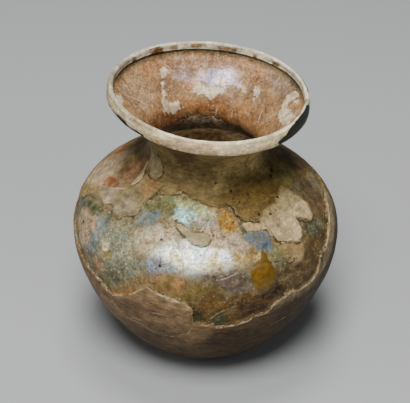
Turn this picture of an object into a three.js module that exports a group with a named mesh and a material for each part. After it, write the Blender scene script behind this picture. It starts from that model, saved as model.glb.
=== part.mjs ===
// A small blown glass vase from antiquity: a round belly, a short neck, and a funnel mouth whose
// rim is folded inward. Weathering has left a crust on the glass, and the crust has flaked away
// from a window round the shoulder.
// Millimetres, with +Z up. The origin is the centre of the underside, and -Y is the front.

import * as THREE from "three";
import { mergeVertices } from "three/addons/utils/BufferGeometryUtils.js";

// Driving dimensions
const base = { ringRadius: 13.5, kickRadius: 9, kickHeight: 1.3, floorRise: 0.8, insideFrom: 0.4 };
const belly = { radius: 37.5, equator: 35.5, footReach: 10.1, sideReach: 13.2 };
const shoulder = { fullness: 17.3, hollow: 7.2 };
const neck = { radius: 16, height: 62, length: 4.8 };
const mouth = { radius: 26.9, height: 75.2, flareReach: 5.2, flareDrop: 4.3 };
const rim = { top: 79.8, radius: 27.3, bulge: 0.4, bulgeRise: 0.8, thickness: 2.2 };
const fold = { drop: 2.6, step: 0.8, slope: 0.15, under: 1.2 };
const wall = { foot: 2.8, side: 1.8, neck: 1.7 };

// What the glassblower's hand left uneven: the lean of the mouth, how far the rim is out of round and
// out of level, and a slumped shoulder
const hand = {
  mouthLean: 3.5,
  outOfRound: [{ lobes: 1, size: 0.2, at: 75 }, { lobes: 2, size: 0.4, at: 46 }, { lobes: 3, size: 0.6, at: 16 }],
  outOfLevel: { lobes: 2, size: 0.35, at: 41 },
  slump: { size: 0.9, height: 50, spread: 8 },
};

// The crust's edges round the bare window, as [degrees from the front towards +X, height]
const crust = { thickness: 0.6, narrowest: 7, fadeGap: 2.5 };
const lowerEdge = [
  [-180, 36], [-165, 32], [-145, 34], [-130, 39], [-105, 41], [-80, 38], [-65, 35], [-50, 32], [-45, 30.5],
  [-35, 33], [-30, 35], [-25, 38.5], [-15, 36.8], [-10, 35.5], [-5, 31.5], [0, 28], [5, 26.3], [15, 27.3],
  [25, 29.5], [30, 31.8], [40, 34], [50, 33.8], [55, 36], [60, 39.5], [70, 42.3], [85, 45.5], [105, 46.5],
  [125, 45], [140, 41], [155, 39.5], [180, 36],
];
const upperEdge = [
  [-180, 49], [-160, 51], [-140, 46], [-125, 41], [-105, 42.5], [-90, 45], [-80, 48.6], [-55, 50], [-45, 54],
  [-40, 56.6], [-30, 57.2], [-20, 57.8], [-5, 56.9], [10, 56], [20, 55], [30, 52.5], [35, 50], [40, 47.3],
  [50, 46.2], [55, 48.5], [60, 48.2], [65, 50.5], [70, 53], [85, 53], [105, 48.8], [120, 45.5], [135, 44],
  [150, 48.5], [165, 50.5], [180, 49],
];

// How finely the surface is divided
const segments = 72;
const rows = { foot: 8, window: 9, collar: 6, flare: 6, insideMouth: 6, inside: 12 };
const crowding = { collar: 1.7, inside: 1.5 };
const edgeWidth = 0.4;

const point = (radius, height) => new THREE.Vector2(radius, height);
const mix = THREE.MathUtils.lerp;

// The outer skin as one curve of radius and height, from the foot ring to the underside of the rim
function outerSkin() {
  const foot = point(base.ringRadius, 0);
  const widest = point(belly.radius, belly.equator);
  const throat = point(neck.radius, neck.height);
  const lip = point(mouth.radius, mouth.height);
  const skin = new THREE.CurvePath();
  skin.add(new THREE.CubicBezierCurve(
    foot,
    point(foot.x + belly.footReach, foot.y),
    point(widest.x, widest.y - belly.sideReach),
    widest,
  ));
  skin.add(new THREE.CubicBezierCurve(
    widest,
    point(widest.x, widest.y + shoulder.fullness),
    point(throat.x, throat.y - shoulder.hollow),
    throat,
  ));
  skin.add(new THREE.CubicBezierCurve(
    throat,
    point(throat.x, throat.y + neck.length),
    point(lip.x - mouth.flareReach, lip.y - mouth.flareDrop),
    lip,
  ));
  return skin;
}

const skin = outerSkin();
const skinLength = skin.getLength();

// How far along the skin, from 0 to 1, a height lies. The skin rises all the way, so halving finds it.
function alongSkin(height) {
  let low = 0;
  let high = 1;
  for (let step = 0; step < 24; step++) {
    const middle = (low + high) / 2;
    if (skin.getPointAt(middle).y < height) low = middle;
    else high = middle;
  }
  return low;
}

// The skin's point at a place along it, moved into the wall by a depth
function skinPoint(along, depth = 0) {
  const spot = skin.getPointAt(along);
  const tangent = skin.getTangentAt(along);
  return point(spot.x - tangent.y * depth, spot.y + tangent.x * depth);
}

// A crust edge's height at an angle, straight between its named points
function edgeHeight(edge, degrees) {
  const next = edge.findIndex(([at]) => at >= degrees);
  if (next <= 0) return edge[0][1];
  const [fromAt, fromHeight] = edge[next - 1];
  const [toAt, toHeight] = edge[next];
  return mix(fromHeight, toHeight, (degrees - fromAt) / (toAt - fromAt));
}

// The underside, from its centre over the pushed-up kick to the flat ring it stands on
function underside() {
  const slope = point(base.kickRadius * 0.6, base.kickHeight * 0.75);
  return [point(0, base.kickHeight), slope, point(base.kickRadius, 0)];
}

// The outside at an angle: crust, the bare window between the crust's edges, crust again, and the flare
function outside(degrees) {
  let low = edgeHeight(lowerEdge, degrees);
  let high = edgeHeight(upperEdge, degrees);
  const bareDepth = crust.thickness * THREE.MathUtils.smoothstep(high - low, 0, crust.fadeGap);
  const spare = Math.max(0, crust.narrowest - (high - low)) / 2;
  low = alongSkin(low - spare);
  high = alongSkin(high + spare);
  const throat = alongSkin(neck.height);
  const step = edgeWidth / skinLength;
  const section = [];
  for (let row = 0; row <= rows.foot; row++) section.push(skinPoint(mix(0, low, row / rows.foot)));
  for (let row = 0; row <= rows.window; row++) {
    section.push(skinPoint(mix(low + step, high - step, row / rows.window), bareDepth));
  }
  for (let row = 0; row < rows.collar; row++) {
    const share = 1 - (1 - row / rows.collar) ** crowding.collar;
    section.push(skinPoint(mix(high, throat, share)));
  }
  for (let row = 0; row <= rows.flare; row++) section.push(skinPoint(mix(throat, 1, row / rows.flare)));
  return section;
}

// The rolled rim: up its bulging outer face, round the top, and down to the edge of the inward fold
function foldedRim() {
  const half = rim.thickness / 2;
  const centre = rim.radius - half;
  const section = [point(rim.radius + rim.bulge, mouth.height + rim.bulgeRise)];
  for (let turn = 0; turn <= 4; turn++) {
    const angle = (Math.PI * turn) / 4;
    section.push(point(centre + half * Math.cos(angle), rim.top - half + half * Math.sin(angle)));
  }
  section.push(point(centre - half, rim.top - fold.drop));
  section.push(point(centre - half + fold.step, rim.top - fold.drop - fold.slope));
  return section;
}

// The inside follows the skin at the wall's thickness, from under the fold down to the bottom
function inside() {
  const section = [];
  const underFold = alongSkin(mouth.height - fold.under);
  const throat = alongSkin(neck.height);
  for (let row = 0; row <= rows.insideMouth; row++) {
    section.push(skinPoint(mix(underFold, throat, row / rows.insideMouth), wall.neck));
  }
  for (let row = 1; row <= rows.inside; row++) {
    const share = (row / rows.inside) ** crowding.inside;
    const depth = mix(wall.side, wall.foot, share ** 4);
    section.push(skinPoint(mix(throat, alongSkin(base.insideFrom), share), depth));
  }
  section.push(point(0, wall.foot + base.floorRise));
  return section;
}

const section = (degrees) => [...underside(), ...outside(degrees), ...foldedRim(), ...inside()];

// How far a wave of so many lobes reaches at an angle, in millimetres
function waveAt({ lobes, size, at }, degrees) {
  return size * Math.cos(THREE.MathUtils.degToRad(lobes * (degrees - at)));
}

// Moves a point of the true round form to where the blown glass has it
function asBlown(spot, degrees) {
  const bend = THREE.MathUtils.smoothstep(spot.z, neck.height - 6, neck.height + 6);
  const lean = THREE.MathUtils.degToRad(hand.mouthLean) * bend;
  const rise = spot.z - neck.height;
  const towardsRim = THREE.MathUtils.smoothstep(spot.z, neck.height, rim.top);
  const wave = hand.outOfRound.reduce((sum, lobed) => sum + waveAt(lobed, degrees), 0);
  const swell = 1 + (towardsRim * wave) / rim.radius;
  const heave = towardsRim * waveAt(hand.outOfLevel, degrees);
  const slump = hand.slump.size * Math.exp(-(((spot.z - hand.slump.height) / hand.slump.spread) ** 2));
  const x = spot.x * swell;
  return new THREE.Vector3(
    x * Math.cos(lean) + rise * Math.sin(lean) - slump,
    spot.y * swell,
    neck.height + heave + rise * Math.cos(lean) - x * Math.sin(lean),
  );
}

// LatheGeometry turns one section round the axis; each of its columns then gets its own section.
function vaseGeometry() {
  const count = section(0).length;
  const lathe = new THREE.LatheGeometry(section(0), segments);
  const position = lathe.getAttribute("position");
  for (let column = 0; column <= segments; column++) {
    const degrees = (360 * column) / segments - (column > segments / 2 ? 360 : 0);
    const angle = THREE.MathUtils.degToRad(degrees);
    section(degrees).forEach(({ x: radius, y: height }, row) => {
      const round = new THREE.Vector3(radius * Math.sin(angle), -radius * Math.cos(angle), height);
      const spot = asBlown(round, degrees);
      position.setXYZ(column * count + row, spot.x, spot.y, spot.z);
    });
  }
  lathe.deleteAttribute("normal");
  lathe.deleteAttribute("uv");
  const closed = mergeVertices(lathe, 1e-3);
  closed.computeVertexNormals();
  return closed;
}

const weatheredGlass = new THREE.MeshStandardMaterial({
  name: "weathered_glass",
  color: 0x9c8668,
  roughness: 0.45,
  metalness: 0.15,
});

const vase = new THREE.Mesh(vaseGeometry(), weatheredGlass);
vase.name = "vase";

const model = new THREE.Group();
model.name = "glass_vase";
model.add(vase);

export default model;
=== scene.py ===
import bpy, bmesh, math
import numpy as np
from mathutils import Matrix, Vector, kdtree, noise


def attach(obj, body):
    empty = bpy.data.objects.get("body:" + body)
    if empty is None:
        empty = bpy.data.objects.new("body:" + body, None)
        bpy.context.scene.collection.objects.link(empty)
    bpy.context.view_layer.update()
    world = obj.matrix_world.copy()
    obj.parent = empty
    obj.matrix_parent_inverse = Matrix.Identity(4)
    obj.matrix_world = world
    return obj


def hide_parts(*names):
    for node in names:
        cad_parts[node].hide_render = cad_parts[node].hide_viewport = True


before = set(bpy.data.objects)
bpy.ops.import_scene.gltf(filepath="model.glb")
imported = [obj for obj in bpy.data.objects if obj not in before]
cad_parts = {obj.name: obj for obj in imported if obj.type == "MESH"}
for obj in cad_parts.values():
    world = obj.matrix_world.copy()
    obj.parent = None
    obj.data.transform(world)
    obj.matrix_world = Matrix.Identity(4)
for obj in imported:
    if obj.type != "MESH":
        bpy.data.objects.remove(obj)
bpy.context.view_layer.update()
print("frame loaded")

mm = 0.001


def linearColour(code):
    parts = [int(code[i:i + 2], 16) / 255 for i in (1, 3, 5)]
    return [c / 12.92 if c < 0.04045 else ((c + 0.055) / 1.055) ** 2.4 for c in parts]


def smooth(low, high, value):
    share = np.clip((value - low) / (high - low), 0, 1)
    return share * share * (3 - 2 * share)


# The form: one blown wall, drawn as radius and height in mm and spun round the axis

form = {
    "kickRadius": 9.0, "kickHeight": 1.3, "ringRadius": 13.5,
    "bellyRadius": 37.5, "equator": 35.5, "footReach": 10.1, "sideReach": 13.2,
    "shoulderFullness": 17.3, "shoulderHollow": 7.2,
    "neckRadius": 16.0, "neckHeight": 62.0, "neckLength": 4.8,
    "lipRadius": 26.9, "lipHeight": 75.2, "flareReach": 5.2, "flareDrop": 4.3,
    "rimTop": 79.8, "rimRadius": 27.3, "rimBulge": 0.4, "rimThickness": 2.2, "foldDrop": 2.6, "foldStep": 0.8,
    "bulgeRows": [(1, 76.9), (0.9, 77.4), (0.6, 77.9), (0.25, 78.4)],  # share of the bulge, height
    "rimTurns": 12, "foldRows": (78.35, 78.0, 77.6),
    "footWall": 2.8, "sideWall": 1.8, "neckWall": 1.7, "floorRadius": 15,
    "rowGaps": [(0, 1.3), (12, 0.8), (25, 0.5), (60, 0.6)],  # from this height up; closest at the flaking
    "funnelDrop": 0.9, "funnelEnd": 57.5, "funnelGap": 0.55,
    "deepGaps": [(57.0, 44, 1.6), (44, 1.2, 3.4)],  # from height, to height, gap
    "segments": 400, "insideSegments": 200,
}
# how the blown glass strays from the true round form
hand = {
    "mouthLean": 3.5, "leanSpread": 6,
    "lobes": [(1, 0.2, 75), (2, 0.4, 46), (3, 0.6, 16)],  # count, size, angle
    "heave": 0.35, "heaveAt": 41, "slump": 0.9, "slumpHeight": 50, "slumpSpread": 8,
}


def bezier(a, b, c, d, count=400):
    t = np.linspace(0, 1, count)[:, None]
    a, b, c, d = (np.array(p, float) for p in (a, b, c, d))
    return (1 - t) ** 3 * a + 3 * (1 - t) ** 2 * t * b + 3 * (1 - t) * t * t * c + t ** 3 * d


def outerSkin(f):
    foot, widest = (f["ringRadius"], 0), (f["bellyRadius"], f["equator"])
    throat, lip = (f["neckRadius"], f["neckHeight"]), (f["lipRadius"], f["lipHeight"])
    side = (widest[0], widest[1] - f["sideReach"])
    lower = bezier(foot, (foot[0] + f["footReach"], 0), side, widest)
    full = (widest[0], widest[1] + f["shoulderFullness"])
    upper = bezier(widest, full, (throat[0], throat[1] - f["shoulderHollow"]), throat)
    under = (lip[0] - f["flareReach"], lip[1] - f["flareDrop"])
    flare = bezier(throat, (throat[0], throat[1] + f["neckLength"]), under, lip)
    return np.concatenate([lower, upper[1:], flare[1:]])


skin = outerSkin(form)
skinRun = np.concatenate([[0], np.cumsum(np.hypot(*np.diff(skin, axis=0).T))])  # mm along the skin
skinSlope = np.gradient(skin, skinRun, axis=0)


def runAt(height):
    return np.interp(height, skin[:, 1], skinRun)


def runOf(height):
    # the run goes on by height above the skin's end, on the rim
    return runAt(np.minimum(height, form["lipHeight"])) + np.maximum(0, height - form["lipHeight"])


def skinAt(run, depth=0.0):
    radius, height = (np.interp(run, skinRun, skin[:, k]) for k in (0, 1))
    outward, upward = (np.interp(run, skinRun, skinSlope[:, k]) for k in (0, 1))
    return np.stack([radius - upward * depth, height + outward * depth], -1)


def spaced(start, end, gap):
    return np.linspace(start, end, max(2, int(round(abs(end - start) / gap)) + 1))


def outerRows(f):
    ends = [low for low, gap in f["rowGaps"][1:]] + [f["lipHeight"]]
    runs = [spaced(runAt(low), runAt(high), gap)[1:] for (low, gap), high in zip(f["rowGaps"], ends)]
    under = [(0, f["kickHeight"])]
    for share in (0.25, 0.45, 0.65, 0.82, 0.95):
        under.append((f["kickRadius"] * share * 1.05, f["kickHeight"] * (1 - share ** 2.5)))
    under += [(f["kickRadius"] * 1.1, 0), (f["ringRadius"] * 0.9, 0), (f["ringRadius"], 0)]
    return [tuple(p) for p in under] + [tuple(p) for p in skinAt(np.concatenate(runs))]


def rimRows(f):
    half = f["rimThickness"] / 2
    centre, top = f["rimRadius"] - half, f["rimTop"] - half
    rows = [(f["lipRadius"] + 0.45, f["lipHeight"] + 0.15)]
    rows += [(f["rimRadius"] + f["rimBulge"], f["lipHeight"] + 0.7)]
    rows += [(f["rimRadius"] + f["rimBulge"] * share, z) for share, z in f["bulgeRows"]]
    for turn in range(f["rimTurns"] + 1):
        angle = math.pi * turn / f["rimTurns"]
        rows.append((centre + half * math.cos(angle), top + half * math.sin(angle)))
    foldEdge = f["rimTop"] - f["foldDrop"]
    rows += [(centre - half, z) for z in f["foldRows"]]
    rows += [(centre - half + 0.04, foldEdge + 0.12), (centre - half + 0.25, foldEdge - 0.1)]
    rows += [(centre - half + f["foldStep"], foldEdge - 0.16)]
    return rows


def insideRows(f):
    funnel = spaced(runAt(f["lipHeight"] - f["funnelDrop"]), runAt(f["funnelEnd"]), f["funnelGap"])
    upper, lower = (spaced(runAt(high), runAt(low), gap) for high, low, gap in f["deepGaps"])
    deep = np.concatenate([upper, lower[1:]])
    share = (runAt(f["neckHeight"]) - deep) / runAt(f["neckHeight"])
    wall = f["sideWall"] + (f["footWall"] - f["sideWall"]) * share ** 4
    floor = f["footWall"] + f["kickHeight"] * 0.6
    middle = [(14, f["footWall"] + 0.15), (9, floor - 0.4), (4, floor - 0.1), (0, floor)]
    low = [tuple(p) for p in skinAt(deep, wall) if p[0] > f["floorRadius"]]
    return [tuple(p) for p in skinAt(funnel, f["neckWall"])], low + middle


def spinRows(rows, segments):
    # a chain of vertices through the rows, spun once round the axis from the front
    shape = bmesh.new()
    chain = [shape.verts.new((0, -radius * mm, height * mm)) for radius, height in rows]
    edges = [shape.edges.new(pair) for pair in zip(chain, chain[1:])]
    bmesh.ops.spin(shape, geom=chain + edges, cent=(0, 0, 0), axis=(0, 0, 1), dvec=(0, 0, 0),
                   angle=2 * math.pi, steps=segments, use_merge=True, use_duplicate=False)
    bmesh.ops.remove_doubles(shape, verts=shape.verts, dist=1e-6)
    part = bpy.data.meshes.new("part")
    shape.to_mesh(part)
    shape.free()
    return part


def vesselMesh(f):
    outside, rim = outerRows(f), rimRows(f)
    funnel, low = insideRows(f)
    parts = [spinRows(outside + rim + funnel, f["segments"]), spinRows(low, f["insideSegments"])]
    shape = bmesh.new()
    for part in parts:
        shape.from_mesh(part)
        bpy.data.meshes.remove(part)
    bmesh.ops.bridge_loops(shape, edges=[e for e in shape.edges if e.is_boundary])
    bmesh.ops.recalc_face_normals(shape, faces=shape.faces)
    mesh = bpy.data.meshes.new("vase")
    shape.to_mesh(mesh)
    shape.free()
    ends = np.cumsum([len(outside), len(rim), len(funnel)])
    return mesh, np.array(outside + rim + funnel + low), ends


vaseMesh, profile, (firstRimRow, firstInsideRow, firstDeepRow) = vesselMesh(form)
count = len(vaseMesh.vertices)
place = np.empty(count * 3)
vaseMesh.vertices.foreach_get("co", place)
place = place.reshape(-1, 3) / mm
radius = np.hypot(place[:, 0], place[:, 1])
angle = np.degrees(np.arctan2(place[:, 0], -place[:, 1]))  # from the front towards +X
height = place[:, 2].copy()
rowTree = kdtree.KDTree(len(profile))
for index, (r, z) in enumerate(profile):
    rowTree.insert((r, z, 0), index)
rowTree.balance()
row = np.array([rowTree.find((r, z, 0))[1] for r, z in zip(radius, height)])
outward = np.gradient(profile, axis=0)
# the rows climb the outside, so this points out of the glass
outward = np.stack([outward[:, 1], -outward[:, 0]], -1)
outward /= np.hypot(*outward.T)[:, None] + 1e-9
isInside, isDeep = row >= firstInsideRow, row >= firstDeepRow
isBody = row < firstRimRow
isRim = ~isBody & ~isInside
rimMiddle = form["rimRadius"] - form["rimThickness"] / 2
isOutside = isBody | (isRim & (radius >= rimMiddle))
isBand = isRim & (radius < rimMiddle + 0.6)  # the rim's flat top and inner edge
run = runOf(height)
triangles = sum(len(face.vertices) - 2 for face in vaseMesh.polygons)
print("vessel spun:", count, "vertices", triangles, "triangles")

# Fields over the surface, in mm: more than 0 inside an area, less than 0 outside it

degreeWidth = np.maximum(radius, 3) * math.pi / 180
noises = {  # size, octaves, shift
    "broad": (14, 2, 3.1), "middle": (4.5, 3, 17.7), "fine": (1.7, 3, 41.3), "hue": (7, 3, 67.9),
    "grainy": (0.9, 2, 83.3),
}
rough = {}  # one value for each vertex
for name, (size, octaves, shift) in noises.items():
    shifted = Vector((shift, shift, shift))
    rough[name] = np.array([noise.fractal(Vector(p) / size + shifted, 1.0, 2.0, octaves) for p in place])


def turnsFrom(middle):
    return (angle - middle + 180) % 360 - 180  # the shorter way round


def unwrapped(points):
    # the same outline with no jump where it passes the back
    first = points[0][0]
    return [(first + (a - first + 180) % 360 - 180, z) for a, z in points]


def lineDistance(points, closed=False, signed=False):
    # the distance of each vertex from a line of [angle, height] points
    points = unwrapped(points) if abs(points[-1][0] - points[0][0]) < 359 else points
    knots = points + points[:1] if closed else points
    best, side = np.full(count, 1e9), np.ones(count)
    for (a0, z0), (a1, z1) in zip(knots, knots[1:]):
        middle = (a0 + a1) / 2
        r0, r1 = runOf(z0), runOf(z1)
        px, py = (turnsFrom(middle) - (a0 - middle)) * degreeWidth, run - r0
        dx, dy = (a1 - a0) * degreeWidth, r1 - r0
        t = np.clip((px * dx + py * dy) / (dx * dx + dy * dy + 1e-9), 0, 1)
        distance = np.hypot(px - t * dx, py - t * dy)
        nearer = distance < best
        best = np.where(nearer, distance, best)
        side = np.where(nearer, np.sign(px * dy - py * dx), side)
    return best * side if signed else best


def areaField(points):
    points = unwrapped(points)
    middle = sum(a for a, z in points) / len(points)
    x = turnsFrom(middle)
    held = np.zeros(count, bool)
    for (a0, z0), (a1, z1) in zip(points, points[1:] + points[:1]):
        r0, r1 = runOf(z0), runOf(z1)
        if r0 == r1:
            continue
        crosses = (r0 > run) != (r1 > run)
        held ^= crosses & (x < a0 - middle + (run - r0) / (r1 - r0) * (a1 - a0))
    distance = lineDistance(points, closed=True)
    return np.where(held, distance, -distance)


# The crust's edges round the bare window on the shoulder, as [angle, height]
crustEdges = {
    "lower": [
        [-180, 36], [-165, 32], [-145, 34], [-130, 39], [-105, 41], [-80, 38], [-68.8, 35.2], [-66.4, 34.9],
        [-63.1, 33.7], [-58.2, 34.2], [-55.3, 33.2], [-52.4, 33.1], [-50.7, 32.1], [-48, 31], [-44.8, 30.8],
        [-40, 31.4], [-34.6, 33.2], [-33.8, 34.2], [-30, 35.2], [-28.6, 37], [-26.6, 37.4], [-25.8, 38.8],
        [-23.5, 38.6], [-21.6, 37.6], [-19, 37.2], [-14, 36.2], [-10, 35.7], [-6.3, 34], [-5.6, 31.5],
        [-5.3, 28.4], [-3.6, 27.7], [2.9, 27.7], [4.4, 26.3], [8.1, 26.6], [12.5, 26.8], [17.7, 27.7],
        [21, 29.1], [27.6, 29.3], [29.6, 31.5], [33.5, 32.8], [38.8, 33.9], [42.5, 32.8], [46, 32.7],
        [52, 33.7], [55.4, 35.2], [56.6, 37.6], [58.2, 39.2], [62, 39.4], [65.4, 40.9], [70.8, 42.5],
        [76.5, 43.6], [81.7, 45], [85, 46], [105, 46.5], [125, 45], [140, 41], [155, 39.5], [180, 36],
    ],
    "upper": [
        [-180, 49], [-160, 51], [-140, 46], [-125, 41], [-105, 42.5], [-91, 44.2], [-88, 46.4],
        [-82.6, 48.6], [-75, 49.9], [-67.3, 50.5], [-62, 51.6], [-58.6, 51.4], [-56, 50.2], [-52.3, 50.7],
        [-49.6, 50.9], [-46.6, 51.8], [-43.9, 52.3], [-42.9, 53.4], [-42.8, 54.9], [-41.8, 55.6],
        [-38.5, 56.8], [-30, 57.4], [-24.7, 57.5], [-18.7, 58.1], [-6, 57.1], [2, 56.5], [8, 56.1], [14, 56],
        [18, 55.8], [21, 55], [22.5, 53.8], [26, 53.1], [31, 52.4], [35, 51.5], [36.5, 50.2], [37.5, 48.6],
        [40, 47.3], [45, 46.4], [50, 45.4], [52.6, 46.4], [54.4, 47.8], [56, 49.6], [59.5, 48.6],
        [63.2, 46.8], [67.5, 47.6], [69.5, 49], [70, 50.6], [67.6, 52], [67, 53.6], [80, 53.4], [90, 52.4],
        [106, 48.6], [120, 45.5], [135, 44], [150, 48.5], [165, 50.5], [180, 49],
    ],
}


def windowField(edges):
    low, high = (np.array(edges[name], float) for name in ("lower", "upper"))
    floor, ceiling = (np.interp(angle, edge[:, 0], runOf(edge[:, 1])) for edge in (low, high))
    distance = np.minimum(lineDistance(edges["lower"]), lineDistance(edges["upper"]))
    return np.where((run > floor) & (run < ceiling), -distance, distance)


waver = 0.9 * rough["middle"] + 0.7 * rough["fine"]  # how far a crisp edge strays from its outline
fray = 1.3 * waver + 0.8 * rough["grainy"]  # and a soft one
deepIn = 4.0  # a field's value well inside an area
crustField = np.where(isBody, windowField(crustEdges) + 0.5 * waver, deepIn)
print("crust edges laid")

# Areas of one colour, each on one layer. Film lies in the window and inside the mouth, crust covers the
# rest, and glass (bare, glossy) and flakes (thin, pale, raised) lie over both. soft and rise are in mm.


def area(colour, *outline, **look):
    return {"colour": linearColour(colour), "outline": outline, **look}


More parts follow.
